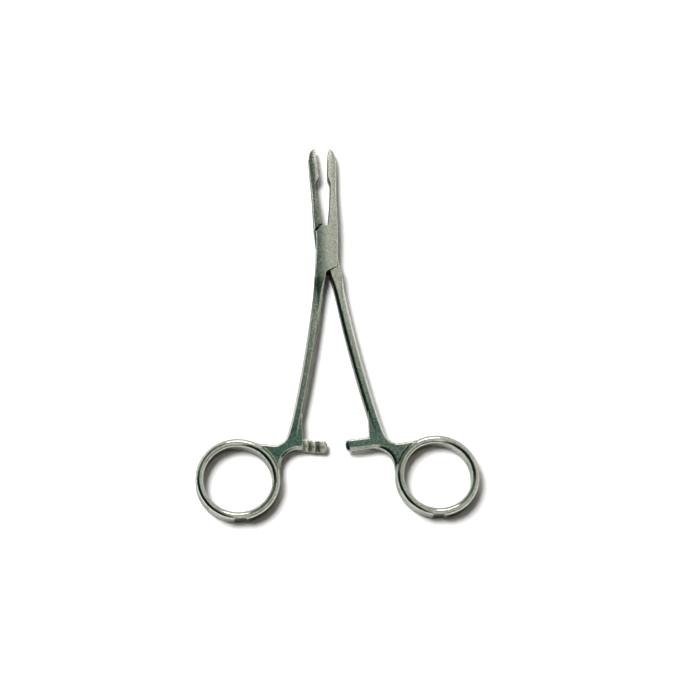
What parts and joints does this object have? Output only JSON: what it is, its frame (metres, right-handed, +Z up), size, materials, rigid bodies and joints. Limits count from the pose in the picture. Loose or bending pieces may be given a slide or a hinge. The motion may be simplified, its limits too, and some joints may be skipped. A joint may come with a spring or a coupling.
{
  "type": "hemostat forceps",
  "caption": "Straight box-lock clamping forceps with serrated jaws, a toothed ratchet and two finger rings.",
  "frame": {"origin": "on the joint's axis, in the plane that the forceps lie on", "axes": "+Y towards the jaw tips, +Z up from the plane that they lie on, along the joint's axis"},
  "size_m": [0.095, 0.1374, 0.0048],
  "materials": {
    "box_half": "satin",
    "insert_half": "satin",
    "joint_pin": "satin"
  },
  "bodies": {
    "box_arm": {"box_half": "box_half", "joint_pin": "joint_pin"},
    "insert_arm": {"insert_half": "insert_half"}
  },
  "joints": [
    {"name": "jaw_hinge", "type": "hinge", "parent": "box_arm", "child": "insert_arm", "pos_m": [0, 0, 0.0024], "axis": [0, 0, 1], "range_deg": [-6.2, 53.8]}
  ]
}
